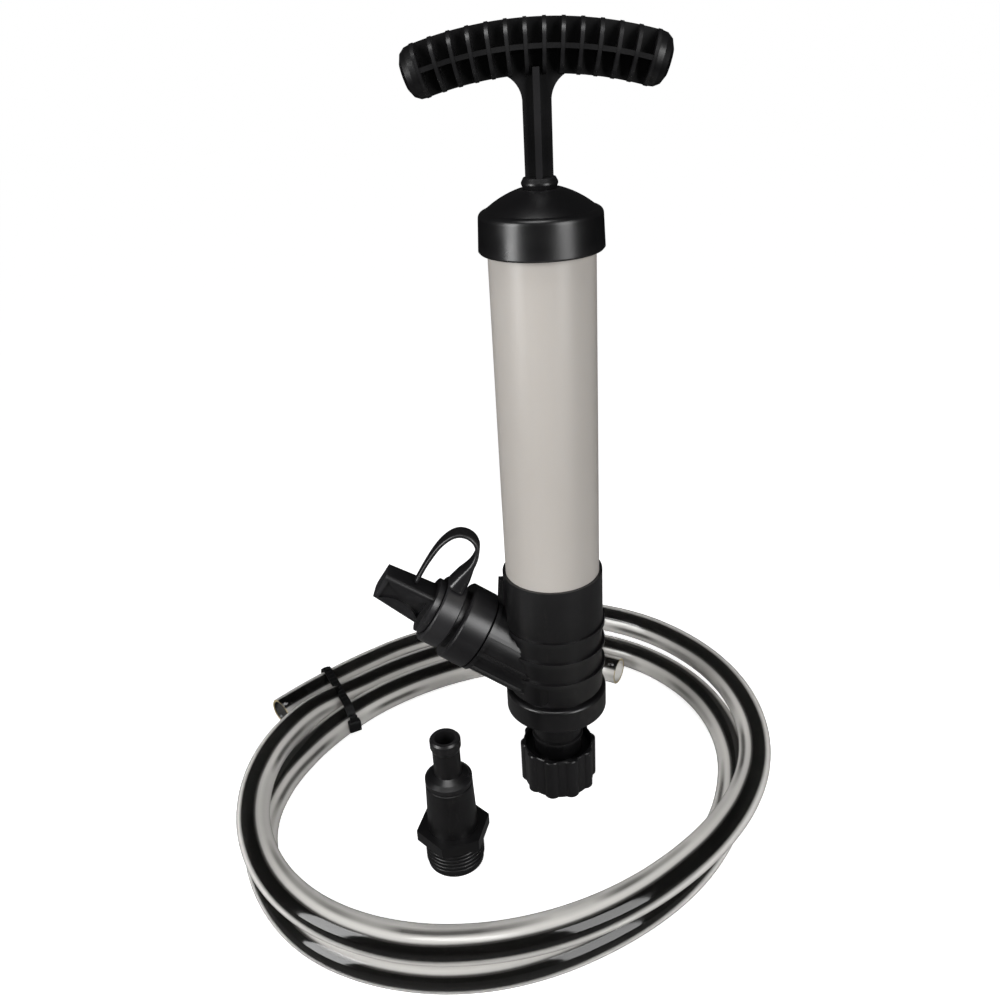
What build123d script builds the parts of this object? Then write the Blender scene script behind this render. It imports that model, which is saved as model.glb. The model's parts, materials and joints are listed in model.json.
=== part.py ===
from build123d import *
from math import cos, degrees, pi, radians, sin, tan
import os

os.makedirs("parts", exist_ok=True)

# ---------------------------------------------------------------- driving dimensions, mm
# The pump's axis is Z and the swivel nut stands on Z = 0. The spout leaves towards -X.
run_gap = 0.3                   # between curved faces of two bodies
fit_gap = 0.05                  # running fit and glued fit, radial

barrel_r, barrel_wall = 22.25, 2.0
barrel_bottom, barrel_top = 98.0, 285.0

body_r, socket_r = 23.4, 23.75
body_bottom, socket_bottom, socket_top = 62.0, 99.3, 126.6
chamber_r = 19.0
ledge_r, ledge_top = 15.0, 66.0
rib_r, rib_height = 24.7, 2.0
rib_levels = (74.6, 86.6, 98.3)

spout_elevation, spout_origin_z = 34.0, 67.0
branch_r, branch_length = 18.6, 44.5
nose_r, nose_bore_r, nose_length = 15.0, 12.0, 70.5
collar_r, collar_start, collar_end = 19.8, 45.0, 58.0
tether_r, tether_start, tether_end = 17.2, 61.0, 70.8

neck_r, neck_bore_r, neck_bottom = 12.25, 9.5, 14.5
ring_r, ring_bottom, ring_top = 25.1, 47.0, 60.0
nut_r, nut_height, nut_bore_r, nut_thread_length = 19.6, 23.0, 13.5, 12.3
nut_lobes = 10

cap_r, cap_bottom, cap_rim, cap_top = 25.9, 276.5, 292.7, 300.4
bush_r, bush_top = 7.4, 304.7

rod_width, rod_rib = 11.2, 2.6
piston_bottom, piston_top = 103.0, 117.0
grip_height, grip_depth = 20.0, 18.0
grip_arc_r, grip_top = 152.0, 361.5
grip_ribs, grip_rib_pitch = 14, 6.8

adapter_x, adapter_y, adapter_height = -51.0, -55.7, 72.5
adapter_thread_r, adapter_bore_r = 13.4, 4.8

hose_d = 15.9
coil_x, coil_y, coil_height = -25.3, -3.3, 31.8
# the coil's outline: the direction from its centre in degrees, its inner and its outer radius there
coil_outline = [(0, 108, 135), (30, 112, 142), (60, 108, 139), (90, 96, 134), (120, 85, 138), (150, 91, 129),
                (180, 111, 133), (210, 123, 142), (240, 122, 140), (270, 112, 129), (300, 103, 122.5),
                (330, 103, 125.5)]
tie_x, tie_y, tie_direction = -128.0, 56.0, 118.6


def save(block, name):
    """Labels a finished piece and writes its STEP file."""
    block.part.label = name
    export_step(block.part, f"parts/{name}.step")


# ---------------------------------------------------------------- shared planes
elevation = radians(spout_elevation)
spout_axis = Vector(-cos(elevation), 0, sin(elevation))
spout_start = Vector(0, 0, spout_origin_z)


def across_spout(distance):
    """The plane square to the spout's axis, its x along +Y, at a distance from the pump's axis."""
    return Plane(spout_start + spout_axis * distance, x_dir=(0, 1, 0), z_dir=spout_axis)


def spout_tube(outer, inner, start, end, name):
    """A plain ring round the spout's axis."""
    with BuildPart() as tube:
        with BuildSketch(across_spout(start)):
            Circle(outer)
            Circle(inner, mode=Mode.SUBTRACT)
        extrude(amount=end - start)
        rim = tube.edges().filter_by(GeomType.CIRCLE).group_by(SortBy.RADIUS)[-1]
        chamfer(rim, length=0.6)
    save(tube, name)


def flat_ring(outer, inner, bottom, top, name):
    """A plain flat ring round the pump's axis."""
    with BuildPart() as ring:
        with BuildSketch(Plane.XY.offset(bottom)):
            Circle(outer)
            Circle(inner, mode=Mode.SUBTRACT)
        extrude(amount=top - bottom)
    save(ring, name)


# ---------------------------------------------------------------- T-handle and rod, one moulding
grip_centre_z = grip_top - grip_height / 2 - grip_arc_r
grip_plane = Plane((0, 0, grip_centre_z), x_dir=(1, 0, 0), z_dir=(0, -1, 0))
grip_bottom = grip_top - grip_height
rib_step = degrees(grip_rib_pitch / grip_arc_r)
rib_half_sweep = rib_step * (grip_ribs - 1) / 2
flange_half_sweep = rib_half_sweep - degrees(0.7 / grip_arc_r)
web_reach = grip_height / 2 - 0.3


def across_grip(angle):
    """The plane square to the handle bar's arc, its x along the bar's depth, at an angle from the top."""
    place = radians(angle)
    origin = (grip_arc_r * sin(place), 0, grip_centre_z + grip_arc_r * cos(place))
    return Plane(origin, x_dir=(0, 1, 0), z_dir=(cos(place), 0, -sin(place)))


with BuildPart() as handle:
    # central web, and the flange along the middle of the bar
    with BuildSketch(grip_plane):
        with BuildLine():
            upper = CenterArc((0, 0), grip_arc_r + web_reach, 90 - rib_half_sweep, 2 * rib_half_sweep)
            lower = CenterArc((0, 0), grip_arc_r - web_reach, 90 - rib_half_sweep, 2 * rib_half_sweep)
            Line(upper @ 0, lower @ 0)
            Line(upper @ 1, lower @ 1)
        make_face()
    extrude(amount=1.3, both=True)
    with BuildSketch(grip_plane):
        with BuildLine():
            flange_arc = CenterArc((0, 0), grip_arc_r, 90 - flange_half_sweep, 2 * flange_half_sweep)
        SlotArc(flange_arc, 1.8)
    extrude(amount=grip_depth / 2 - 0.2, both=True)
    # oval ribs across the bar
    for index in range(grip_ribs):
        with BuildSketch(across_grip(index * rib_step - rib_half_sweep)):
            Ellipse(grip_depth / 2, grip_height / 2)
        extrude(amount=0.7, both=True)
    # closed, rounded ends of the bar
    for side in (-1, 1):
        for stages in (((0.3, 0.985), (3.0, 0.95)), ((3.0, 0.95), (5.2, 0.80)), ((5.2, 0.80), (6.6, 0.50))):
            for reach, scale in stages:
                with BuildSketch(across_grip(side * rib_half_sweep).offset(side * reach)):
                    Ellipse(grip_depth / 2 * scale, grip_height / 2 * scale)
            loft()
    # cross-shaped rod, from the piston up into the bar
    with BuildSketch(Plane.XY.offset(piston_top)):
        Rectangle(rod_width, rod_rib)
        Rectangle(rod_rib, rod_width)
    extrude(amount=grip_bottom + 3 - piston_top)
    # flared gussets where the rod meets the bar
    with BuildSketch(Plane.XZ):
        with BuildLine():
            Line((0, grip_bottom + 4), (0, grip_bottom - 22))
            Line((0, grip_bottom - 22), (rod_width / 2, grip_bottom - 22))
            Line((rod_width / 2, grip_bottom - 22), (rod_width / 2, grip_bottom - 10))
            RadiusArc((rod_width / 2, grip_bottom - 10), (rod_width / 2 + 9, grip_bottom + 1.2), 10.5)
            Line((rod_width / 2 + 9, grip_bottom + 1.2), (rod_width / 2 + 9, grip_bottom + 4))
            Line((rod_width / 2 + 9, grip_bottom + 4), (0, grip_bottom + 4))
        make_face()
        mirror(about=Plane.YZ)
    extrude(amount=rod_rib / 2, both=True)
    # short stub below the cross that enters the piston
    with BuildSketch(Plane.XY.offset(piston_top - 8)):
        Circle(4.0)
    extrude(amount=8.5)
save(handle, "handle")

# ---------------------------------------------------------------- piston
cup_bottom, cup_top = piston_bottom + 3.0, piston_bottom + 9.2
with BuildPart() as piston_head:
    with BuildSketch(Plane.XZ):
        with BuildLine():
            Polyline((0, piston_bottom), (18.5, piston_bottom), (18.5, cup_bottom), (16.2, cup_bottom),
                     (16.2, cup_top), (19.6, cup_top), (19.6, cup_top + 2.3), (17.5, piston_top),
                     (0, piston_top), close=True)
        make_face()
    revolve(axis=Axis.Z)
    with Locations(Plane.XY.offset(piston_top)):
        Hole(4.0, depth=8)
    with Locations(Plane.XY.offset(piston_top - 8)):
        Hole(2.2, depth=10)
save(piston_head, "piston_head")

with BuildPart() as piston_cup:
    with BuildSketch(Plane.XZ):
        with BuildLine():
            Polyline((16.2, cup_bottom), (18.3, cup_bottom), (20.18, cup_bottom + 3.5), (20.18, cup_top),
                     (18.9, cup_top), (18.9, cup_bottom + 4.1), (17.6, cup_bottom + 2.1),
                     (16.2, cup_bottom + 2.1), close=True)
        make_face()
    revolve(axis=Axis.Z)
save(piston_cup, "piston_cup")

with BuildPart() as piston_washer:
    with BuildSketch(Plane.XY.offset(piston_bottom - 1.2)):
        Circle(7.0)
        Circle(2.25, mode=Mode.SUBTRACT)
    extrude(amount=1.2)
save(piston_washer, "piston_washer")

with BuildPart() as piston_screw:
    with BuildSketch(Plane.XY.offset(piston_bottom - 1.2)):
        Circle(2.2)
    extrude(amount=7.1)
    with BuildSketch(Plane.XY.offset(piston_bottom - 3.4)):
        Circle(4.2)
    extrude(amount=2.2)
    chamfer(piston_screw.faces().sort_by(Axis.Z)[0].edges(), length=0.5)
    with BuildSketch(Plane.XY.offset(piston_bottom - 3.4)):
        Rectangle(5.4, 1.1)
        Rectangle(1.1, 5.4)
    extrude(amount=1.2, mode=Mode.SUBTRACT)
save(piston_screw, "piston_screw")

# ---------------------------------------------------------------- barrel and top cap
flat_ring(barrel_r, barrel_r - barrel_wall, barrel_bottom, barrel_top, "barrel")
flat_ring(barrel_r - fit_gap, barrel_r - barrel_wall, barrel_top, barrel_top + 1.2, "cap_gasket")
flat_ring(barrel_r - fit_gap, barrel_r - barrel_wall, barrel_bottom - 1.2, barrel_bottom, "barrel_gasket")

cap_bore_r = barrel_r + fit_gap
cap_hole_r = 6.7
with BuildPart() as barrel_cap:
    with BuildSketch(Plane.XZ):
        with BuildLine():
            Polyline((cap_bore_r, cap_bottom), (cap_r - 0.7, cap_bottom), (cap_r, cap_bottom + 0.8),
                     (cap_r - 0.6, cap_rim - 2.6))
            RadiusArc((cap_r - 0.6, cap_rim - 2.6), (cap_r - 3.1, cap_rim), -2.6)
            RadiusArc((cap_r - 3.1, cap_rim), (9.0, cap_top), -42)
            Polyline((9.0, cap_top), (cap_hole_r, cap_top), (cap_hole_r, cap_top - 3.6),
                     (20.0, cap_rim - 2.5), (20.0, barrel_top + 1.2), (cap_bore_r, barrel_top + 1.2),
                     (cap_bore_r, cap_bottom))
        make_face()
    revolve(axis=Axis.Z)
save(barrel_cap, "barrel_cap")

# guide bush in the cap's centre, its hole cross-shaped like the rod
with BuildPart() as rod_bush:
    with BuildSketch(Plane.XZ):
        with BuildLine():
            Polyline((0, cap_top - 3.6), (cap_hole_r - fit_gap, cap_top - 3.6),
                     (cap_hole_r - fit_gap, cap_top), (6.6, cap_top), (bush_r, cap_top + 1.9),
                     (bush_r, cap_top + 2.6), (6.5, bush_top), (0, bush_top), close=True)
        make_face()
    revolve(axis=Axis.Z)
    with BuildSketch(Plane.XY.offset(cap_top - 5)):
        Rectangle(rod_width + 2 * run_gap, rod_rib + 2 * run_gap)
        Rectangle(rod_rib + 2 * run_gap, rod_width + 2 * run_gap)
    extrude(amount=12, mode=Mode.SUBTRACT)
save(rod_bush, "rod_bush")

# ---------------------------------------------------------------- valve body with its side spout
spigot_r, spigot_bore_r, spigot_bottom = 21.6, 18.3, 50.3
with BuildPart() as valve_body:
    # side branch, cut level with the underside of the body
    with BuildSketch(across_spout(0)):
        Circle(branch_r)
    extrude(amount=branch_length)
    # raised longitudinal ribs and the end ring of the branch, on the front and the back
    with BuildSketch(across_spout(10)):
        with PolarLocations(branch_r, 3, -31, 64, endpoint=True):
            Rectangle(2.2, 1.8)
        with PolarLocations(branch_r, 3, 149, 64, endpoint=True):
            Rectangle(2.2, 1.8)
    extrude(amount=branch_length - 10)
    with BuildSketch(across_spout(branch_length - 2)):
        Circle(branch_r + 1.1)
    extrude(amount=2)
    split(bisect_by=Plane.XY.offset(body_bottom), keep=Keep.TOP)
    # main chamber and the barrel's socket
    with BuildSketch(Plane.XY.offset(body_bottom)):
        Circle(body_r)
    extrude(amount=socket_bottom - body_bottom)
    with BuildSketch(Plane.XY.offset(socket_bottom)):
        Circle(socket_r)
    extrude(amount=socket_top - socket_bottom)
    for level in rib_levels:
        with BuildSketch(Plane.XY.offset(level - rib_height / 2)):
            Circle(rib_r)
        extrude(amount=rib_height)
    # web that ties the top of the branch to the socket
    with BuildSketch(Plane.XZ):
        with BuildLine():
            Polyline((-22, 100), (-22, 122), (-26, 122), (-26.8, 112), (-25.6, 106), close=True)
        make_face()
    extrude(amount=1.5, both=True)
    # threaded spigot below, and the nose that carries the collar and the tether ring
    with BuildSketch(Plane.XY.offset(spigot_bottom)):
        Circle(spigot_r)
    extrude(amount=body_bottom - spigot_bottom)
    with BuildSketch(across_spout(branch_length)):
        Circle(nose_r)
    extrude(amount=nose_length - branch_length)
    # bores
    with BuildSketch(Plane.XY.offset(spigot_bottom)):
        Circle(spigot_bore_r)
    extrude(amount=body_bottom - spigot_bottom, mode=Mode.SUBTRACT)
    with BuildSketch(Plane.XY.offset(body_bottom)):
        Circle(ledge_r)
    extrude(amount=ledge_top - body_bottom, mode=Mode.SUBTRACT)
    with BuildSketch(Plane.XY.offset(ledge_top)):
        Circle(chamber_r)
    extrude(amount=barrel_bottom - 1.2 - ledge_top, mode=Mode.SUBTRACT)
    with BuildSketch(Plane.XY.offset(barrel_bottom - 1.2)):
        Circle(barrel_r + fit_gap)
    extrude(amount=socket_top - barrel_bottom + 1.2, mode=Mode.SUBTRACT)
    with BuildSketch(across_spout(16.5)):
        Circle(nose_bore_r)
    extrude(amount=nose_length - 16.5, mode=Mode.SUBTRACT)
    # assembly notch in the front of the body
    with BuildSketch(Plane.XZ.offset(body_r - 1.2)):
        with Locations((-6.0, 68)):
            SlotOverall(10, 4.0, rotation=90)
    extrude(amount=4, mode=Mode.SUBTRACT)
save(valve_body, "valve_body")

# ---------------------------------------------------------------- outlet side
spout_tube(collar_r, nose_r + fit_gap, collar_start, collar_end, "spout_collar")
spout_tube(tether_r, nose_r + fit_gap, tether_start, tether_end, "tether_ring")

outlet_seat_start = 33.0
with BuildPart() as outlet_seat:
    with BuildSketch(across_spout(outlet_seat_start)):
        Circle(nose_bore_r - fit_gap)
        with PolarLocations(6.4, 6):
            Circle(2.3, mode=Mode.SUBTRACT)
        Circle(1.8, mode=Mode.SUBTRACT)
    extrude(amount=3)
save(outlet_seat, "outlet_seat")

with BuildPart() as outlet_valve:
    with BuildSketch(across_spout(outlet_seat_start + 3.1)):
        Circle(10.4)
    extrude(amount=1.8)
    with BuildSketch(across_spout(outlet_seat_start - 5.0)):
        Circle(1.5)
    extrude(amount=8.2)
save(outlet_valve, "outlet_valve")

# stopper: stem inside the nose, flange against its end, and a finger grip
plug_stem_start, flange_start, grip_start, grip_end = 59.0, 71.1, 74.0, 99.5
with BuildPart() as outlet_plug:
    with BuildSketch(across_spout(plug_stem_start)):
        Circle(nose_bore_r - run_gap)
    extrude(amount=flange_start - plug_stem_start)
    with BuildSketch(across_spout(plug_stem_start + 3.5)):
        Circle(nose_bore_r)
        Circle(nose_bore_r - 1.4, mode=Mode.SUBTRACT)
    extrude(amount=2.4, mode=Mode.SUBTRACT)
    with BuildSketch(across_spout(flange_start)):
        Circle(14.2)
    extrude(amount=grip_start - flange_start)
    with BuildSketch(across_spout(grip_start)):
        RectangleRounded(16, 18.0, 2.5)
    with BuildSketch(across_spout(grip_end)):
        RectangleRounded(13, 14.5, 2.5)
    loft()
    # bow-tie hollow on the front and the back of the grip
    for side in (-1, 1):
        middle = spout_start + spout_axis * (grip_start + grip_end) / 2
        hollow_plane = Plane(middle + Vector(0, side * 5.4, 0), x_dir=spout_axis, z_dir=(0, side, 0))
        with BuildSketch(hollow_plane):
            Rectangle(21, 11.5)
            with Locations((0, 17.4), (0, -17.4)):
                Circle(16, mode=Mode.SUBTRACT)
        extrude(amount=6, mode=Mode.SUBTRACT)
save(outlet_plug, "outlet_plug")

with BuildPart() as plug_oring:
    with BuildSketch(across_spout(plug_stem_start + 3.6)):
        Circle(nose_bore_r - 0.07)
        Circle(nose_bore_r - 1.35, mode=Mode.SUBTRACT)
    extrude(amount=2.2)
save(plug_oring, "plug_oring")

# strap from the ring to the stopper, a flat band bent into an open loop in the XZ plane
strap_width, strap_thickness = 7.0, 1.6
strap_route = [(-45.4, 119.2), (-36.6, 130.6), (-34.6, 141.2), (-40.8, 149.6), (-50.6, 146.6),
               (-58.6, 136.0), (-65.4, 122.6)]
strap_radii = [6.0, 5.0, 5.2, 6.0, 12.0]
with BuildPart() as tether_strap:
    with BuildSketch(Plane.XZ):
        with BuildLine():
            FilletPolyline(*strap_route, radius=strap_radii)
        trace(line_width=strap_thickness)
    extrude(amount=strap_width / 2, both=True)
save(tether_strap, "tether_strap")

# ---------------------------------------------------------------- inlet side
seat_bottom = 56.0
with BuildPart() as inlet_seat:
    with BuildSketch(Plane.XY.offset(seat_bottom)):
        Circle(spigot_bore_r - fit_gap)
    extrude(amount=body_bottom - seat_bottom)
    with BuildSketch(Plane.XY.offset(body_bottom)):
        Circle(ledge_r - 0.2)
    extrude(amount=ledge_top - body_bottom)
    with BuildSketch(Plane.XY.offset(seat_bottom)):
        with PolarLocations(8.2, 6):
            Circle(2.9)
        Circle(1.8)
    extrude(amount=ledge_top - seat_bottom, mode=Mode.SUBTRACT)
save(inlet_seat, "inlet_seat")

with BuildPart() as inlet_valve:
    with BuildSketch(Plane.XY.offset(ledge_top + 0.1)):
        Circle(12.8)
    extrude(amount=2.0)
    with BuildSketch(Plane.XY.offset(seat_bottom - 1)):
        Circle(1.5)
    extrude(amount=ledge_top - seat_bottom + 1.2)
save(inlet_valve, "inlet_valve")

flat_ring(spigot_bore_r - fit_gap, 12.0, 54.0, seat_bottom, "seat_gasket")

# inlet tail: top flange, neck with a bead, and the end ring inside the nut
with BuildPart() as inlet_neck:
    with BuildSketch(Plane.XZ):
        with BuildLine():
            Polyline((neck_bore_r, neck_bottom), (13.2, neck_bottom), (13.2, 17.2), (neck_r, 17.2),
                     (neck_r, 28.0), (neck_r + 0.9, 28.6), (neck_r + 0.9, 29.8), (neck_r, 30.4),
                     (neck_r + 0.3, 50.3), (spigot_bore_r - fit_gap, 50.3), (spigot_bore_r - fit_gap, 54),
                     (neck_bore_r, 54), close=True)
        make_face()
    revolve(axis=Axis.Z)
save(inlet_neck, "inlet_neck")

# retaining ring screwed over the spigot, its floor under the neck's flange
with BuildPart() as inlet_ring:
    with BuildSketch(Plane.XZ):
        with BuildLine():
            Polyline((neck_r + 0.4, ring_bottom), (ring_r - 1.2, ring_bottom), (ring_r, ring_bottom + 1.2),
                     (ring_r, ring_top - 1.5))
            RadiusArc((ring_r, ring_top - 1.5), (ring_r - 1.5, ring_top), -1.5)
            Polyline((ring_r - 1.5, ring_top), (spigot_r + fit_gap, ring_top), (spigot_r + fit_gap, 50.2),
                     (neck_r + 0.4, 50.2), (neck_r + 0.4, ring_bottom))
        make_face()
    revolve(axis=Axis.Z)
save(inlet_ring, "inlet_ring")

# swivel nut: lobed outside, plain thread bore, room above it for the neck's end ring, and a lip over it
with BuildPart() as swivel_nut:
    with BuildSketch(Plane.XY):
        Circle(nut_r - 1.5)
        with PolarLocations(nut_r - 4.2, nut_lobes, 5):
            Circle(4.2)
    extrude(amount=nut_height)
    with BuildSketch(Plane.XY):
        Circle(nut_bore_r)
    extrude(amount=nut_thread_length, mode=Mode.SUBTRACT)
    with BuildSketch(Plane.XY.offset(nut_thread_length)):
        Circle(nut_bore_r + 0.4)
    extrude(amount=17.5 - nut_thread_length, mode=Mode.SUBTRACT)
    with BuildSketch(Plane.XY.offset(17.5)):
        Circle(neck_r + run_gap)
    extrude(amount=2, mode=Mode.SUBTRACT)
    with BuildSketch(Plane.XY.offset(19.5)):
        Circle(16.8)
    extrude(amount=nut_height - 19.5, mode=Mode.SUBTRACT)
    top_rim = swivel_nut.faces().sort_by(Axis.Z)[-1].edges()
    chamfer(top_rim, length=0.5)
save(swivel_nut, "swivel_nut")

flat_ring(13.1, neck_bore_r, neck_bottom - 2.0, neck_bottom, "nut_washer")

# ---------------------------------------------------------------- hose adapter, standing beside the pump
adapter_plane = Plane((adapter_x, adapter_y, 0), x_dir=(1, 0, 0), z_dir=(0, 0, 1))
hex_bottom, hex_top, hex_corner_r, hex_turn = 15.5, 21.3, 17.6, 17.0
with BuildPart() as hose_adapter:
    with BuildSketch(Plane((adapter_x, adapter_y, 0), x_dir=(1, 0, 0), z_dir=(0, -1, 0))):
        with BuildLine():
            Polyline((0, 0), (adapter_thread_r, 0), (adapter_thread_r, hex_bottom), (11.8, hex_bottom),
                     (11.8, 23.0), (11.0, 46.6), (10.6, 46.9), (10.6, 47.5), (11.0, 47.8), (11.0, 50.0),
                     (9.2, 51.4), (6.35, 53.0), (6.35, 66.0), (7.1, 68.0), (7.1, 71.6), (6.4, adapter_height),
                     (0, adapter_height), close=True)
        make_face()
    revolve(axis=Axis((adapter_x, adapter_y, 0), (0, 0, 1)))
    with BuildSketch(adapter_plane.offset(hex_bottom)):
        RegularPolygon(hex_corner_r, 6, rotation=hex_turn)
    extrude(amount=hex_top - hex_bottom)
    with BuildSketch(adapter_plane):
        Circle(adapter_bore_r)
    extrude(amount=adapter_height, mode=Mode.SUBTRACT)
    with BuildSketch(adapter_plane):
        Circle(10.2)
    extrude(amount=17, mode=Mode.SUBTRACT)
save(hose_adapter, "hose_adapter")

# ---------------------------------------------------------------- hose: coil, its two free ends, and the tie
def coil_point(direction, radius):
    """The point of the coil's outline in a direction from its centre."""
    return (coil_x + radius * cos(radians(direction)), coil_y + radius * sin(radians(direction)))


with BuildPart() as hose_coil:
    with BuildSketch(Plane.XY.offset(0.05)):
        with BuildLine():
            Spline(*[coil_point(direction, outer) for direction, _, outer in coil_outline], periodic=True)
        make_face()
        with BuildLine():
            Spline(*[coil_point(direction, inner) for direction, inner, _ in coil_outline], periodic=True)
        make_face(mode=Mode.SUBTRACT)
    extrude(amount=coil_height)
save(hose_coil, "hose_coil")


def hose_radii(points):
    """The radius of each corner: 0.45 of its shorter run over the tangent of half its turn."""
    radii = []
    for before, here, after in zip(points, points[1:], points[2:]):
        first, second = Vector(*here) - Vector(*before), Vector(*after) - Vector(*here)
        turn = radians(first.get_angle(second))
        radii.append(0.45 * min(first.length, second.length) / tan(turn / 2))
    return radii


def hose_run(points, name):
    """A free stretch of hose as straight runs joined by tangent arcs."""
    radii = hose_radii(points)
    with BuildPart() as run:
        with BuildLine():
            path = FilletPolyline(*points, radius=radii)
        start_plane = Plane(points[0], z_dir=Vector(*points[1]) - Vector(*points[0]))
        with BuildSketch(start_plane):
            Circle(hose_d / 2)
        sweep()
    volume_ratio = run.part.volume / (pi * hose_d**2 / 4 * path.length)
    print(name, "radii", [round(r) for r in radii], "volume ratio", round(volume_ratio, 4))
    save(run, name)


low = hose_d / 2 + 0.05
hose_run([(-98, 106.5, low), (-114.5, 92.5, low), (-132, 77, low), (-147.5, 61.5, low), (-160.5, 46, low)],
         "hose_end_open")
hose_run([(-20, 99, low), (0, 97.5, low), (19, 90.5, low), (36, 79, low)], "hose_end_rear")

# cable tie: a flat loop round the three strands that lie side by side next to the open end
tie_inner_width, tie_band, tie_half_length = 50.4, 1.2, 2.4
tie_across = Vector(cos(radians(tie_direction)), sin(radians(tie_direction)), 0)
tie_centre = (tie_x, tie_y, hose_d / 2 + tie_band + 0.1)
tie_plane = Plane(tie_centre, x_dir=tie_across, z_dir=tie_across.cross(Vector(0, 0, 1)))
with BuildPart() as cable_tie:
    with BuildSketch(tie_plane):
        SlotOverall(tie_inner_width + 2 * tie_band, hose_d + 2 * tie_band)
        SlotOverall(tie_inner_width, hose_d, mode=Mode.SUBTRACT)
    extrude(amount=tie_half_length, both=True)
save(cable_tie, "cable_tie")

with BuildPart() as tie_head:
    with BuildSketch(tie_plane):
        with Locations((-tie_inner_width / 2 - tie_band - 2.2, 0)):
            RectangleRounded(4.6, 7.0, 1)
    extrude(amount=tie_half_length + 1.2, both=True)
save(tie_head, "tie_head")
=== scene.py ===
"""Looks of a hand bilge pump with its hose adapter and a coil of clear hose. Lengths are in metres."""
import json
import math

import bmesh
import bpy
from mathutils import Matrix, Vector


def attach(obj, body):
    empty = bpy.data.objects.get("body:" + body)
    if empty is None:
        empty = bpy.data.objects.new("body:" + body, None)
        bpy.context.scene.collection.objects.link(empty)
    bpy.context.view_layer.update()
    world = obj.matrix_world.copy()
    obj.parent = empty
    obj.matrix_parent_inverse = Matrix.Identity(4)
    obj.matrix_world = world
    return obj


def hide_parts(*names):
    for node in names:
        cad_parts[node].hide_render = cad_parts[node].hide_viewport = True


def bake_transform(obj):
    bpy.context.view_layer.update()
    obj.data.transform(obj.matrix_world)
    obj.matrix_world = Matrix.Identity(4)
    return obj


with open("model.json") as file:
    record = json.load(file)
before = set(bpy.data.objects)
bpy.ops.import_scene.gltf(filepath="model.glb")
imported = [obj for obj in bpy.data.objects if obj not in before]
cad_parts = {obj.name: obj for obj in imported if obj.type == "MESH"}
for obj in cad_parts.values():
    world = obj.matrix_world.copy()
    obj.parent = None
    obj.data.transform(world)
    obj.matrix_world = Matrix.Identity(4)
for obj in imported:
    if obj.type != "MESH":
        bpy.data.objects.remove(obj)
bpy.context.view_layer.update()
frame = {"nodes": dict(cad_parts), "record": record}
nodes = frame["nodes"]

# ---------------------------------------------------------------- camera
# the camera's turn about the upright axis, its tilt down and its roll, in degrees, as solved from the photo
CAMERA_TURN, CAMERA_TILT, CAMERA_ROLL = -3.34, 26.17, -3.36
CAMERA_PLACE = (0.0, -0.3936, 0.3573)
CAMERA_LENS, CAMERA_SENSOR = 34.37, 36.0


def make_camera():
    """A camera above and in front of the object, turned a little to its left and rolled a little."""
    yaw, pitch, roll = (math.radians(a) for a in (CAMERA_TURN, CAMERA_TILT, CAMERA_ROLL))
    forward = Vector((math.sin(yaw) * math.cos(pitch), math.cos(yaw) * math.cos(pitch), -math.sin(pitch)))
    level_right = Vector((math.cos(yaw), -math.sin(yaw), 0.0))
    level_up = level_right.cross(forward)
    right = level_right * math.cos(roll) + level_up * math.sin(roll)
    up = level_up * math.cos(roll) - level_right * math.sin(roll)
    data = bpy.data.cameras.new("camera")
    data.lens, data.sensor_width = CAMERA_LENS, CAMERA_SENSOR
    camera = bpy.data.objects.new("camera", data)
    turn = Matrix((right, up, -forward)).transposed().to_4x4()
    camera.matrix_world = Matrix.Translation(CAMERA_PLACE) @ turn
    bpy.context.collection.objects.link(camera)
    bpy.context.scene.camera = camera


make_camera()


# ---------------------------------------------------------------- mesh helpers
def mesh_piece(name, verts, faces, smooth=True):
    """A new object from points and faces, with its normals made consistent."""
    mesh = bpy.data.meshes.new(name)
    mesh.from_pydata([tuple(v) for v in verts], [], faces)
    work = bmesh.new()
    work.from_mesh(mesh)
    bmesh.ops.recalc_face_normals(work, faces=work.faces)
    work.to_mesh(mesh)
    work.free()
    for polygon in mesh.polygons:
        polygon.use_smooth = smooth
    piece = bpy.data.objects.new(name, mesh)
    bpy.context.collection.objects.link(piece)
    return piece


def spline_points(control, resolution):
    """The points of an open NURBS spline through a route, without bevel."""
    curve = bpy.data.curves.new("route", "CURVE")
    curve.dimensions = "3D"
    spline = curve.splines.new("NURBS")
    spline.points.add(len(control) - 1)
    for point, place in zip(spline.points, control):
        point.co = (*place, 1.0)
    spline.order_u = 3
    spline.use_endpoint_u = True
    spline.resolution_u = resolution
    holder = bpy.data.objects.new("route", curve)
    bpy.context.collection.objects.link(holder)
    bpy.context.view_layer.update()
    mesh = bpy.data.meshes.new_from_object(holder)
    points = [v.co.copy() for v in mesh.vertices]
    bpy.data.objects.remove(holder)
    bpy.data.curves.remove(curve)
    bpy.data.meshes.remove(mesh)
    return points


# ---------------------------------------------------------------- hose
HOSE_RADIUS, HOSE_BORE_RADIUS, HOSE_LENGTH = 0.00795, 0.00635, 1.74
# the rounding of the hose's cut ends, and the height of its centre where it lies on the floor
CUT_EDGE, FLOOR_LINE = 0.0004, 0.0080
# the middle of the coil; the mean radius of its outer oval, how far it swells, and in which direction
COIL_CENTRE = (-0.0253, -0.0033)
OVAL_RADIUS, OVAL_SWELL, OVAL_DIRECTION = 0.1236, 0.0098, 36
# degrees between the route's points in the turns
COIL_STEP = 12.0
# the wall's tint, the yellower tint of its cut ends, and over what length painted shade darkens the bore from
# its open end
CLEAR_TONE, CUT_TONE, END_SHADE = (1.0, 1.0, 1.0), (0.85, 0.72, 0.42), 0.045
# the darkest painted shade deep in the bore
DARKEST_BORE_SHADE = 0.01
# the place in degrees round the hose of its dark streak of painted reflection, and how it shifts where the
# hose's side faces the back
REFLECTION_STREAK_PLACE, REFLECTION_STREAK_SHIFT, REFLECTION_STREAK_CURVE = 98, 48, 20
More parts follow.
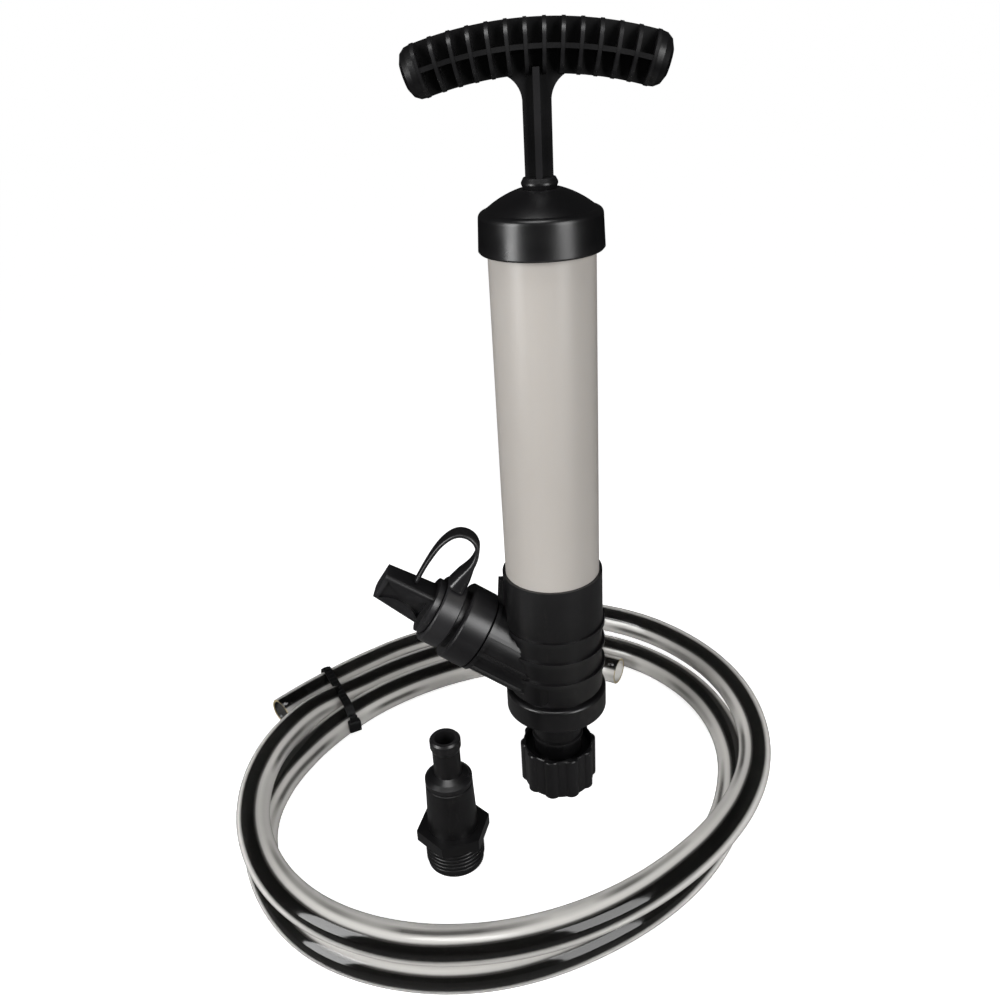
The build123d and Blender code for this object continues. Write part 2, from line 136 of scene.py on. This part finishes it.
# the open end's free stretch on the floor
OPEN_END = [(-0.1605, 0.0460), (-0.1475, 0.0615), (-0.1320, 0.0770), (-0.1145, 0.0925)]
# the turns: running direction in degrees, how far inside the outer oval, and height of the hose's centre
TURNS = [(122, -0.0160, 0.0080), (108, -0.0125, 0.0090), (92, -0.0070, 0.0160), (78, -0.0030, 0.0220),
         (60, 0.0000, 0.0234), (38, 0.0010, 0.0226), (-5, 0.0000, 0.0216), (-40, 0.0010, 0.0232),
         (-90, 0.0000, 0.0239), (-135, -0.0020, 0.0239), (-160, 0.0000, 0.0239), (-180, 0.0020, 0.0230),
         (-192, 0.0026, 0.0200), (-202, 0.0006, 0.0150), (-212, -0.0008, 0.0080), (-222, 0.0010, 0.0080),
         (-250, 0.0050, 0.0080), (-300, 0.0100, 0.0080), (-322, 0.0115, 0.0080), (-345, 0.0115, 0.0080),
         (-368, 0.0097, 0.0080), (-400, 0.0042, 0.0080), (-430, 0.0020, 0.0080), (-450, -0.0005, 0.0080),
         (-487, -0.0030, 0.0080), (-522, 0.0014, 0.0080), (-540, 0.0080, 0.0080), (-555, 0.0138, 0.0080),
         (-565, 0.0152, 0.0080), (-574, 0.0168, 0.0080), (-610, 0.0220, 0.0080), (-640, 0.0260, 0.0080),
         (-668, 0.0295, 0.0080)]


def coil_oval(direction):
    """The radius of the coil's outer oval in a direction from its centre."""
    return OVAL_RADIUS + OVAL_SWELL * math.cos(2 * math.radians(direction - OVAL_DIRECTION))


def turn_facts(direction):
    """The inset and the height of the hose where its turns pass a running direction."""
    for (first, inset_a, height_a), (last, inset_b, height_b) in zip(TURNS, TURNS[1:]):
        if last <= direction <= first:
            share = (first - direction) / (first - last)
            return inset_a + share * (inset_b - inset_a), height_a + share * (height_b - height_a)
    return TURNS[-1][1:]


def hose_route():
    """The hose's control points: its open end on the floor, then its turns."""
    route = [(x, y, FLOOR_LINE) for x, y in OPEN_END]
    count = round((TURNS[0][0] - TURNS[-1][0]) / COIL_STEP)
    step = (TURNS[0][0] - TURNS[-1][0]) / count
    for index in range(count + 1):
        direction = TURNS[0][0] - index * step
        inset, height = turn_facts(direction)
        radius = (coil_oval(direction) - inset) / math.cos(math.radians(step / 2))
        angle = math.radians(direction)
        route.append((COIL_CENTRE[0] + radius * math.cos(angle),
                      COIL_CENTRE[1] + radius * math.sin(angle), height))
    return route


def frames_along(points):
    """A side and an up direction at each point of a line, turning as little as possible."""
    frames = []
    side = None
    for index, point in enumerate(points):
        before, after = points[max(index - 1, 0)], points[min(index + 1, len(points) - 1)]
        tangent = (after - before).normalized()
        side = Vector((0, 0, 1)).cross(tangent).normalized() if side is None else side
        side = (side - tangent * side.dot(tangent)).normalized()
        frames.append((point, side, tangent.cross(side)))
    return frames


def painted_reflection_place(outward):
    """The share of a turn round the hose, from its outward side, where its dark streak of painted reflection
    runs.
    """
    toward_back = outward.y
    return (REFLECTION_STREAK_PLACE + REFLECTION_STREAK_SHIFT * toward_back - REFLECTION_STREAK_CURVE * toward_back ** 2) / 360


def ring_of(place, radius, around, shift=None):
    """The points of a ring round a place on a line, moved by a shift if there is one."""
    point, side, up = place
    centre = point if shift is None else point + shift
    return [centre + side * (radius * math.cos(2 * math.pi * k / around))
            + up * (radius * math.sin(2 * math.pi * k / around)) for k in range(around)]


def hollow_tube(name, points, outer, bore, around=48):
    """A thick-walled tube along a line, open at both ends, with rounded edges there."""
    line = frames_along(points)
    start, end = line[0], line[-1]
    start_in = (points[1] - points[0]).normalized() * CUT_EDGE
    end_in = (points[-2] - points[-1]).normalized() * CUT_EDGE
    rings = [ring_of(start, outer - CUT_EDGE, around), ring_of(start, outer, around, start_in)]
    rings.extend(ring_of(place, outer, around) for place in line[1:-1])
    rings.append(ring_of(end, outer, around, end_in))
    rings.append(ring_of(end, outer - CUT_EDGE, around))
    rings.append(ring_of(end, bore + CUT_EDGE, around))
    rings.append(ring_of(end, bore, around, end_in))
    rings.extend(ring_of(place, bore, around) for place in reversed(line[1:-1]))
    rings.append(ring_of(start, bore, around, start_in))
    rings.append(ring_of(start, bore + CUT_EDGE, around))
    verts = [vertex for ring in rings for vertex in ring]
    faces = []
    for r in range(len(rings)):
        following = (r + 1) % len(rings)
        for k in range(around):
            n = (k + 1) % around
            faces.append((r * around + k, r * around + n, following * around + n, following * around + k))
    piece = mesh_piece(name, verts, faces)
    along = [0.0]
    for ring, following in zip(rings, rings[1:]):
        along.append(along[-1] + (following[0] - ring[0]).length)
    map_tube(piece.data, line, along, around)
    tint_and_shade_tube(piece.data, along, around)
    return piece


def map_tube(mesh, line, along, around):
    """UVs that run along a tube and round it, with the middle of its streak of painted reflection at a half.
    """
    # each end of the line has two rings, because of its rounded edge
    streaks = [painted_reflection_place(side) for _, side, _ in (line[0], *line, line[-1])]
    streaks += streaks[::-1]
    uv = mesh.uv_layers.new(name="UVMap")
    for polygon in mesh.polygons:
        corners = [(loop, mesh.loops[loop].vertex_index) for loop in polygon.loop_indices]
        closes_turn = any(vertex % around == around - 1 for _, vertex in corners)
        for loop, vertex in corners:
            k = vertex % around
            share = 1.0 if k == 0 and closes_turn else k / around
            uv.data[loop].uv = (along[vertex // around], share - streaks[vertex // around] + 0.5)


def tint_and_shade_tube(mesh, along, around):
    """A tube's tints and painted shade: clear outside, darkened by painted shade into the bore from its open
    end, and yellower on its cut ends.
    """
    tone = mesh.attributes.new("tone", "FLOAT_COLOR", "POINT")
    count = len(along)
    half = count // 2
    for index in range(count):
        inside = index >= half
        depth = (along[-1] - along[index]) / END_SHADE if inside else 1.0
        colour = tuple(min(1.0, DARKEST_BORE_SHADE + depth ** 2) * c for c in CLEAR_TONE)
        if index in (0, half - 1, half, count - 1):
            colour = CUT_TONE
        for k in range(around):
            tone.data[index * around + k].color = (*colour, 0.0 if inside else 1.0)


hose_line = spline_points(hose_route(), 6)
hose = hollow_tube("hose", hose_line, HOSE_RADIUS, HOSE_BORE_RADIUS)
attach(hose, "pump")
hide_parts("hose_coil", "hose_end_open", "hose_end_rear")

# ---------------------------------------------------------------- strap from the spout's ring to the stopper
# places along the strap, its half width across them and its half thickness, seen from the front
STRAP = [((-0.0462, 0.1188), 0.0068, 0.0046), ((-0.0438, 0.1222), 0.0062, 0.0034),
         ((-0.0394, 0.1282), 0.0052, 0.0016), ((-0.0352, 0.1350), 0.0045, 0.0011),
         ((-0.0346, 0.1416), 0.0045, 0.0011), ((-0.0384, 0.1466), 0.0045, 0.0011),
         ((-0.0446, 0.1478), 0.0045, 0.0011), ((-0.0516, 0.1430), 0.0043, 0.0011),
         ((-0.0574, 0.1354), 0.0038, 0.0011), ((-0.0622, 0.1278), 0.0034, 0.0010),
         ((-0.0652, 0.1224), 0.0034, 0.0010)]


BAND_CORNERS, BAND_FLATNESS, BAND_EDGE = 16, 0.35, 0.7


def swollen(value, power):
    """A number between -1 and 1 pushed towards its end by a power, with its sign kept."""
    return math.copysign(abs(value) ** power, value)


def flat_band(name, stations, steps=8):
    """A flat flexible band along a smooth line in the plane y = 0, with rounded edges."""
    line = spline_points([(x, 0.0, z) for (x, z), _, _ in stations], steps)
    section = [(swollen(math.cos(a), BAND_FLATNESS), swollen(math.sin(a), BAND_EDGE))
               for a in (2 * math.pi * k / BAND_CORNERS for k in range(BAND_CORNERS))]
    verts, faces = [], []
    for index, point in enumerate(line):
        share = index / (len(line) - 1) * (len(stations) - 1)
        low = min(int(share), len(stations) - 2)
        part = share - low
        half_width, half_thick = ((1 - part) * stations[low][i] + part * stations[low + 1][i] for i in (1, 2))
        before, after = line[max(index - 1, 0)], line[min(index + 1, len(line) - 1)]
        tangent = (after - before).normalized()
        outward = tangent.cross(Vector((0, 1, 0)))
        verts.extend(point + Vector((0, half_width * across, 0)) + outward * (half_thick * deep)
                     for across, deep in section)
    count = len(section)
    for ring in range(len(line) - 1):
        for k in range(count):
            n = (k + 1) % count
            faces.append((ring * count + k, ring * count + n, (ring + 1) * count + n, (ring + 1) * count + k))
    faces.append(tuple(range(count))[::-1])
    faces.append(tuple((len(line) - 1) * count + k for k in range(count)))
    return mesh_piece(name, verts, faces)


# the strap bends with the stopper between its ring's side and its tip
strap = flat_band("strap", STRAP)
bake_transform(strap)
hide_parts("tether_strap")

# ---------------------------------------------------------------- cable tie
TIE_CENTRE, TIE_ACROSS = Vector((-0.1282, 0.0564, 0.00925)), math.radians(118.6)
TIE_HALF_RUN, TIE_BEND, TIE_THICK, TIE_HALF_WIDTH = 0.01785, 0.00795, 0.0011, 0.0024
TIE_TEETH, TIE_TOOTH, TIE_SLACK = 34, 0.00025, 0.0002
# the head: its half sizes, how far its middle stands off the band, and the rounding of its edges
LOCK_HALF, LOCK_OFF, LOCK_EDGE = (0.0021, 0.0034, 0.0035), 0.0019, 0.0007
# the cut tail: its half sizes, its middle from the head's, and the rounding of its edges
TAIL_HALF, TAIL_SHIFT, TAIL_EDGE = (0.0006, 0.0022, TIE_HALF_WIDTH * 0.9), (-0.0002, 0.0046, 0.0), 0.0003


def tie_place(across, height, along):
    """A point of the tie from its own directions: across the strands, up, and along them."""
    turn = (math.cos(TIE_ACROSS), math.sin(TIE_ACROSS))
    side = Vector((turn[0], turn[1], 0.0))
    run = Vector((turn[1], -turn[0], 0.0))
    return TIE_CENTRE + side * across + run * along + Vector((0, 0, height))


def tie_loop_point(share, radius):
    """A point of the tie's flat loop at a share of its length, at a radius from its bend's centre."""
    straight, bend = 2 * TIE_HALF_RUN, math.pi * TIE_BEND
    place = share * (2 * straight + 2 * bend)
    if place < straight:
        return place - TIE_HALF_RUN, radius
    place -= straight
    if place < bend:
        angle = math.pi / 2 - place / TIE_BEND
        return TIE_HALF_RUN + radius * math.cos(angle), radius * math.sin(angle)
    place -= bend
    if place < straight:
        return TIE_HALF_RUN - place, -radius
    angle = -math.pi / 2 - (place - straight) / TIE_BEND
    return -TIE_HALF_RUN + radius * math.cos(angle), radius * math.sin(angle)


def make_tie():
    """The cable tie's band: a toothed loop round the strands."""
    verts, faces = [], []
    steps = TIE_TEETH * 4
    inner, outer = TIE_BEND + TIE_SLACK, TIE_BEND + TIE_THICK
    for index in range(steps):
        raised = outer + (TIE_TOOTH if index % 4 < 2 else 0.0)
        for radius, along in ((inner, -1), (outer, -1), (outer, -0.62), (raised, -0.6),
                              (raised, 0.6), (outer, 0.62), (outer, 1), (inner, 1)):
            across, height = tie_loop_point(index / steps, radius)
            verts.append(tie_place(across, height, along * TIE_HALF_WIDTH))
    for index in range(steps):
        following = (index + 1) % steps
        for k in range(8):
            n = (k + 1) % 8
            faces.append((index * 8 + k, index * 8 + n, following * 8 + n, following * 8 + k))
    band = mesh_piece("tie_band", verts, faces, smooth=False)
    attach(band, "pump")
    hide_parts("cable_tie")
    return band


def rounded_block(name, centre, half, edge):
    """A block with rounded edges, its sides along a tie's directions."""
    work = bmesh.new()
    bmesh.ops.create_cube(work, size=2.0)
    for vertex in work.verts:
        vertex.co = Vector([c * h for c, h in zip(vertex.co, half)])
    bmesh.ops.bevel(work, geom=work.edges[:], offset=edge, segments=3, affect="EDGES", profile=0.5)
    verts = [tie_place(*(vertex.co + Vector(centre))) for vertex in work.verts]
    work.verts.index_update()
    faces = [tuple(vertex.index for vertex in face.verts) for face in work.faces]
    work.free()
    return mesh_piece(name, verts, faces)


def make_tie_head():
    """The tie's head, a rounded block on the band, and the cut tail that comes out of it."""
    reach = -(TIE_HALF_RUN + TIE_BEND + TIE_THICK + LOCK_OFF)
    head = rounded_block("tie_lock", (reach, 0.0, 0.0), LOCK_HALF, LOCK_EDGE)
    tail_centre = (reach + TAIL_SHIFT[0], TAIL_SHIFT[1], TAIL_SHIFT[2])
    tail = rounded_block("tie_tail", tail_centre, TAIL_HALF, TAIL_EDGE)
    for piece in (head, tail):
        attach(piece, "pump")
    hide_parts("tie_head")
    return head, tail


tie_pieces = (make_tie(), *make_tie_head())

# ---------------------------------------------------------------- the adapter's screw thread
ADAPTER_AXIS = (-0.051, -0.0557)
THREAD_RADIUS, THREAD_BOTTOM, THREAD_TOP = 0.01335, 0.0016, 0.0138
THREAD_PITCH, THREAD_DEPTH = 0.0022, 0.0006
# the share of a turn over which the ridge fades in and out
THREAD_FADE = 0.25
# the ridge's outline: rise in pitches, and height in depths, where below nought is inside the shaft
THREAD_OUTLINE = ((-0.42, -0.4), (-0.16, 0.8), (0.0, 1.0), (0.16, 0.8), (0.42, -0.4))


def make_thread(name, around=64):
    """A screw thread's rounded ridge round the adapter's foot, fading in and out at its ends."""
    count = int((THREAD_TOP - THREAD_BOTTOM) / THREAD_PITCH * around)
    verts, faces = [], []
    for index in range(count + 1):
        angle = 2 * math.pi * index / around
        height = THREAD_BOTTOM + THREAD_PITCH * index / around
        fade = min(1.0, index / (THREAD_FADE * around), (count - index) / (THREAD_FADE * around))
        for rise, out in THREAD_OUTLINE:
            reach = THREAD_RADIUS + THREAD_DEPTH * (out * fade if out > 0 else out)
            verts.append((ADAPTER_AXIS[0] + reach * math.cos(angle),
                          ADAPTER_AXIS[1] + reach * math.sin(angle), height + rise * THREAD_PITCH))
    width = len(THREAD_OUTLINE)
    for index in range(count):
        for k in range(width):
            n = (k + 1) % width
            here, there = index * width, (index + 1) * width
            faces.append((here + k, here + n, there + n, there + k))
    faces.append(tuple(range(width)))
    faces.append(tuple(count * width + k for k in range(width))[::-1])
    return mesh_piece(name, verts, faces)


adapter_thread = make_thread("adapter_thread")
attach(adapter_thread, "adapter")


# ---------------------------------------------------------------- materials
class Material:
    """A material whose nodes are added with short calls."""

    def __init__(self, name):
        self.material = bpy.data.materials.new(name)
        self.material.use_nodes = True
        self.tree = self.material.node_tree
        self.shader = self.tree.nodes["Principled BSDF"]

    def node(self, kind, **values):
        """A node of a kind, with its properties and its unlinked inputs set."""
        node = self.tree.nodes.new(kind)
        for key, value in values.items():
            if hasattr(node, key):
                setattr(node, key, value)
            else:
                node.inputs[key.replace("_", " ")].default_value = value
        return node

    def link(self, source, target):
        self.tree.links.new(source, target)

    def set(self, **values):
        """Constant values on the shader's own sockets."""
        for key, value in values.items():
            self.shader.inputs[key.replace("_", " ")].default_value = value

    def noise(self, scale, detail=3.0, stretch=(1, 1, 1), coordinates="Object"):
        """Noise in the object's own coordinates, stretched if need be."""
        place = self.node("ShaderNodeTexCoord")
        mapping = self.node("ShaderNodeMapping")
        mapping.inputs["Scale"].default_value = stretch
        self.link(place.outputs[coordinates], mapping.inputs["Vector"])
        noise = self.node("ShaderNodeTexNoise", Scale=scale, Detail=detail)
        self.link(mapping.outputs["Vector"], noise.inputs["Vector"])
        return noise.outputs["Fac"]

    def ramp(self, source, low, high, start=0.3, end=0.7):
        """A value or colour that runs from low to high as the source does from start to end."""
        ramp = self.node("ShaderNodeValToRGB")
        for element, place, value in zip(ramp.color_ramp.elements, (start, end), (low, high)):
            element.position = place
            element.color = (*value, 1.0) if isinstance(value, tuple) else (value, value, value, 1.0)
        self.link(source, ramp.inputs["Fac"])
        return ramp.outputs["Color"]

    def stops(self, source, tones):
        """A colour that runs through an ordered list of places and colours as the source goes from 0 to 1."""
        ramp = self.node("ShaderNodeValToRGB")
        elements = ramp.color_ramp.elements
        for _ in tones[2:]:
            elements.new(0.5)
        # places first and colours after, because the elements sort themselves by place
        for element, (place, _) in zip(elements, tones):
            element.position = place
        for element, (_, colour) in zip(elements, tones):
            element.color = (*colour, 1.0)
        self.link(source, ramp.inputs["Fac"])
        return ramp.outputs["Color"]

    def input_of(self, mix, name):
        """The input of a mix node that is in use, because it has a set for each kind of data."""
        return next(socket for socket in mix.inputs if socket.name == name and socket.enabled)

    def bump(self, source, strength, depth, below=None):
        """A bump of a given depth in metres, on top of another."""
        bump = self.node("ShaderNodeBump", Strength=strength, Distance=depth)
        self.link(source, bump.inputs["Height"])
        if below is not None:
            self.link(below, bump.inputs["Normal"])
        return bump.outputs["Normal"]


# how pointed an edge is where its rubbing starts and where it is full, and how much paler it is then
RUB_START, RUB_FULL, RUB_GAIN, RUB_ADD = 0.52, 0.60, 2.0, 0.003


def moulded_plastic(name, dark, light, rough, grain=0.00004, **values):
    """Moulded plastic: fine grain, slow waves in the wall, patches of sheen and paler handled edges."""
    m = Material(name)
    wear = m.node("ShaderNodeNewGeometry").outputs["Pointiness"]
    rubbed = m.ramp(wear, 0.0, 1.0, RUB_START, RUB_FULL)
    patches = m.ramp(m.noise(60.0, 4.0), dark, light)
    edge = m.node("ShaderNodeMix", data_type="RGBA")
    m.input_of(edge, "B").default_value = (*[min(1.0, c * RUB_GAIN + RUB_ADD) for c in light], 1.0)
    m.link(rubbed, m.input_of(edge, "Factor"))
    m.link(patches, m.input_of(edge, "A"))
    m.link(edge.outputs["Result"], m.shader.inputs["Base Color"])
    sheen = m.ramp(m.noise(45.0, 5.0), rough - 0.05, rough + 0.07)
    m.link(sheen, m.shader.inputs["Roughness"])
    waves = m.bump(m.noise(22.0, 1.0), 0.12, 0.0005)
    m.link(m.bump(m.noise(1400.0, 2.0), 0.20, grain, waves), m.shader.inputs["Normal"])
    m.set(**values)
    return m.material


# painted reflection on the hose's wall, a black streak between paler bands: its brightness by the angle in
# degrees round it from the middle of the streak
WALL_REFLECTION_TONES = ((-180, 0.80), (-75, 0.90), (-42, 0.97), (-31, 0.40), (-25, 0.006), (18, 0.004), (24, 0.08),
              (30, 0.80), (38, 0.95), (55, 0.78), (80, 0.85), (112, 0.95), (125, 0.70), (180, 0.80))
# a second, fainter streak of painted reflection, which comes and goes
SECOND_REFLECTION_TONES = ((44, 1.0), (54, 0.12), (62, 0.20), (74, 1.0))
# the wall is a little warm, and so is its bore
WALL_WARMTH, BORE_COLOUR = (1.0, 0.985, 0.955), (0.90, 0.885, 0.855, 1.0)


def round_hose(angle):
    """The place on a hose's UV map, round it, of an angle in degrees from its streak of painted reflection.
    """
    return 0.5 + angle / 360


def clear_vinyl():
    """Clear vinyl hose: a warm glassy wall with black streaks of painted reflection, die lines along it,
    painted shade into its open bore, and yellower cut ends.
    """
    m = Material("clear_vinyl")
    place = m.node("ShaderNodeUVMap", uv_map="UVMap")
    split = m.node("ShaderNodeSeparateXYZ")
    m.link(place.outputs["UV"], split.inputs["Vector"])
    drift = m.node("ShaderNodeMath", operation="MULTIPLY_ADD")
    drift.inputs[1].default_value = 0.05
    m.link(m.noise(1.0, 2.0, (9.0, 0.0, 0.0), "UV"), drift.inputs[0])
    m.link(split.outputs["Y"], drift.inputs[2])
    turn = m.node("ShaderNodeMath", operation="FRACT")
    m.link(drift.outputs["Value"], turn.inputs[0])
    # the wall's colour round the hose is painted reflection: a black streak and paler bands, with a second
    # fainter dark streak where the noise lets it show
    wall = m.stops(turn.outputs["Value"], [
        (round_hose(angle), tuple(tone * c for c in WALL_WARMTH)) for angle, tone in WALL_REFLECTION_TONES])
    second = m.stops(turn.outputs["Value"], [
        (round_hose(angle), (tone,) * 3) for angle, tone in SECOND_REFLECTION_TONES])
    shown = m.ramp(m.noise(1.0, 1.0, (14.0, 0.0, 0.0), "UV"), 0.0, 1.0, 0.44, 0.58)
    wall_with_reflection = m.node("ShaderNodeMix", data_type="RGBA", blend_type="MULTIPLY")
    m.link(shown, wall_with_reflection.inputs["Factor"])
    m.link(wall, m.input_of(wall_with_reflection, "A"))
    m.link(second, m.input_of(wall_with_reflection, "B"))
    # the tone attribute carries the painted shade in the bore and the yellower cut ends
    tone = m.node("ShaderNodeAttribute", attribute_name="tone")
    outside = m.node("ShaderNodeMix", data_type="RGBA")
    m.link(tone.outputs["Alpha"], m.input_of(outside, "Factor"))
    m.input_of(outside, "A").default_value = BORE_COLOUR
    m.link(wall_with_reflection.outputs["Result"], m.input_of(outside, "B"))
    ends = m.node("ShaderNodeMix", data_type="RGBA", blend_type="MULTIPLY")
    m.input_of(ends, "Factor").default_value = 1.0
    m.link(outside.outputs["Result"], m.input_of(ends, "A"))
    m.link(tone.outputs["Color"], m.input_of(ends, "B"))
    m.link(ends.outputs["Result"], m.shader.inputs["Base Color"])
    lines = m.noise(1.0, 4.0, (14.0, 34.0, 1.0), "UV")
    m.link(m.ramp(lines, 0.04, 0.12), m.shader.inputs["Roughness"])
    waves = m.bump(lines, 0.25, 0.00006)
    m.link(m.bump(m.noise(80.0, 2.0), 0.10, 0.0004, waves), m.shader.inputs["Normal"])
    m.set(IOR=1.45, Transmission_Weight=0.5)
    return m.material


def milky_barrel():
    """Translucent extruded barrel: warm grey, satin, with long faint draw lines and soft scuffs."""
    m = Material("milky_barrel")
    tone = m.ramp(m.noise(30.0, 4.0, (1, 1, 0.25)), (0.545, 0.512, 0.475), (0.585, 0.552, 0.515))
    m.link(tone, m.shader.inputs["Base Color"])
    m.link(m.ramp(m.noise(55.0, 5.0, (1, 1, 0.1)), 0.30, 0.42), m.shader.inputs["Roughness"])
    lines = m.bump(m.noise(700.0, 2.0, (1, 1, 0.02)), 0.15, 0.00004)
    m.link(m.bump(m.noise(20.0, 1.0), 0.10, 0.0004, lines), m.shader.inputs["Normal"])
    m.set(Subsurface_Weight=0.25, Subsurface_Scale=0.004, Coat_Weight=0.15, Coat_Roughness=0.3)
    m.shader.inputs["Subsurface Radius"].default_value = (1.0, 0.9, 0.8)
    return m.material


def plain_steel():
    """Turned stainless steel for the piston's screw and washer."""
    m = Material("plain_steel")
    m.link(m.ramp(m.noise(120.0, 4.0), (0.50, 0.50, 0.51), (0.62, 0.62, 0.63)), m.shader.inputs["Base Color"])
    m.link(m.ramp(m.noise(300.0, 3.0, (1, 1, 6)), 0.22, 0.38), m.shader.inputs["Roughness"])
    m.link(m.bump(m.noise(900.0, 2.0, (1, 1, 8)), 0.2, 0.00002), m.shader.inputs["Normal"])
    m.set(Metallic=1.0)
    return m.material


satin_black = moulded_plastic("satin_black", (0.0035, 0.0034, 0.0038), (0.0055, 0.0053, 0.0058), 0.32,
                              Specular_IOR_Level=0.6)
soft_black = moulded_plastic("soft_black", (0.006, 0.0058, 0.0065), (0.010, 0.0097, 0.0105), 0.33,
                             Specular_IOR_Level=0.7)
nylon_black = moulded_plastic("nylon_black", (0.003, 0.003, 0.0032), (0.005, 0.005, 0.0053), 0.42,
                              grain=0.00002, Specular_IOR_Level=0.2)
seal_black = moulded_plastic("seal_black", (0.012, 0.012, 0.012), (0.02, 0.02, 0.02), 0.62)
barrel_grey = milky_barrel()
hose_clear = clear_vinyl()
steel = plain_steel()


def dress(piece, material):
    """Gives a piece one material in every slot it has."""
    if not piece.material_slots:
        piece.data.materials.append(material)
    for slot in piece.material_slots:
        slot.material = material


FINISHES = {"black_plastic": satin_black, "barrel_plastic": barrel_grey, "hose_vinyl": hose_clear,
            "seal_rubber": seal_black, "stainless_steel": steel, "flexible_plastic": soft_black,
            "tie_nylon": nylon_black}
for part in frame["record"]["subparts"]:
    dress(nodes[part["node"]], FINISHES[part["material_slot"]])
dress(hose, hose_clear)
dress(strap, soft_black)
dress(adapter_thread, satin_black)
for tie_piece in tie_pieces:
    dress(tie_piece, nylon_black)


# ---------------------------------------------------------------- floor and light
# the room's and the floor's brightness as the eye sees them, and, much less, as they light the object
ROOM_LIT, ROOM_SEEN = 0.02, 1.0
# the floor's colour and its glow, each far away and close by
FLOOR_FAR, GLOW_FAR_LIT, GLOW_FAR_SEEN = 0.02, 0.0, 1.0
FLOOR_SEEN, FLOOR_LIT, GLOW_SEEN, GLOW_LIT = 0.87, 0.10, 0.84, 0.06
# the floor's half size, how far close by reaches, and the width of its soft edge
FLOOR_HALF, TABLE_RADIUS, TABLE_EDGE = 3.0, 0.26, 0.10
# each light's place, the point that it faces, its width and height, and its power in watts
LIGHTS = (("top_softbox", (-0.1, -0.35, 1.4), (0, 0, 0.1), (0.6, 0.4), 5.0),
          ("left_softbox", (-0.90, -0.65, 0.45), (0, 0, 0.15), (0.42, 0.9), 11.0),
          ("right_strip", (0.75, -0.80, 0.45), (0, 0, 0.15), (0.5, 0.9), 9.0))


def seen_or_lit(tree, seen, lit):
    """A value that is one thing to the eye, clear walls or not, and another as light on the object."""
    path = tree.nodes.new("ShaderNodeLightPath")
    either = tree.nodes.new("ShaderNodeMath")
    either.operation = "MAXIMUM"
    tree.links.new(path.outputs["Is Camera Ray"], either.inputs[0])
    tree.links.new(path.outputs["Is Transmission Ray"], either.inputs[1])
    mix = tree.nodes.new("ShaderNodeMix")
    tree.links.new(either.outputs["Value"], mix.inputs["Factor"])
    for socket, value in (("A", lit), ("B", seen)):
        if isinstance(value, float):
            mix.inputs[socket].default_value = value
        else:
            tree.links.new(value, mix.inputs[socket])
    return mix.outputs["Result"]


def make_floor():
    """A plain white floor. Close to the object it takes light and shadow, and further out it only glows."""
    half = FLOOR_HALF
    floor = mesh_piece("floor", [(-half, -half, 0), (half, -half, 0), (half, half, 0), (-half, half, 0)],
                       [(0, 1, 2, 3)], smooth=False)
    m = Material("pale_floor")
    place = m.node("ShaderNodeTexCoord")
    distance = m.node("ShaderNodeVectorMath", operation="LENGTH")
    m.link(place.outputs["Object"], distance.inputs[0])
    near = m.node("ShaderNodeMapRange", interpolation_type="SMOOTHSTEP")
    for socket, value in (("From Min", TABLE_RADIUS), ("From Max", TABLE_RADIUS + TABLE_EDGE),
                          ("To Min", 1.0), ("To Max", 0.0)):
        near.inputs[socket].default_value = value
    m.link(distance.outputs["Value"], near.inputs["Value"])
    closeness = near.outputs["Result"]
    bright = seen_or_lit(m.tree, m.ramp(closeness, FLOOR_FAR, FLOOR_SEEN, 0.0, 1.0),
                         m.ramp(closeness, FLOOR_FAR, FLOOR_LIT, 0.0, 1.0))
    m.link(bright, m.shader.inputs["Base Color"])
    glow = seen_or_lit(m.tree, m.ramp(closeness, GLOW_FAR_SEEN, GLOW_SEEN, 0.0, 1.0),
                       m.ramp(closeness, GLOW_FAR_LIT, GLOW_LIT, 0.0, 1.0))
    m.link(glow, m.shader.inputs["Emission Strength"])
    m.set(Roughness=0.9, Specular_IOR_Level=0.0, Emission_Color=(1.0, 1.0, 1.0, 1.0))
    dress(floor, m.material)


def make_light(name, place, target, size, power):
    """A rectangular soft light that faces a point."""
    data = bpy.data.lights.new(name, "AREA")
    data.shape, data.size, data.size_y, data.energy = "RECTANGLE", size[0], size[1], power
    light = bpy.data.objects.new(name, data)
    light.location = place
    light.rotation_euler = (Vector(target) - Vector(place)).to_track_quat("-Z", "Y").to_euler()
    bpy.context.collection.objects.link(light)


def make_world():
    """A room that is white to the eye and nearly dark to the object."""
    world = bpy.data.worlds.new("studio")
    world.use_nodes = True
    bpy.context.scene.world = world
    tree = world.node_tree
    tree.links.new(seen_or_lit(tree, ROOM_SEEN, ROOM_LIT), tree.nodes["Background"].inputs["Strength"])
    tree.nodes["Background"].inputs["Color"].default_value = (1.0, 1.0, 1.0, 1.0)


make_floor()
make_world()
for light in LIGHTS:
    make_light(*light)
bpy.context.scene.view_settings.view_transform = "Standard"
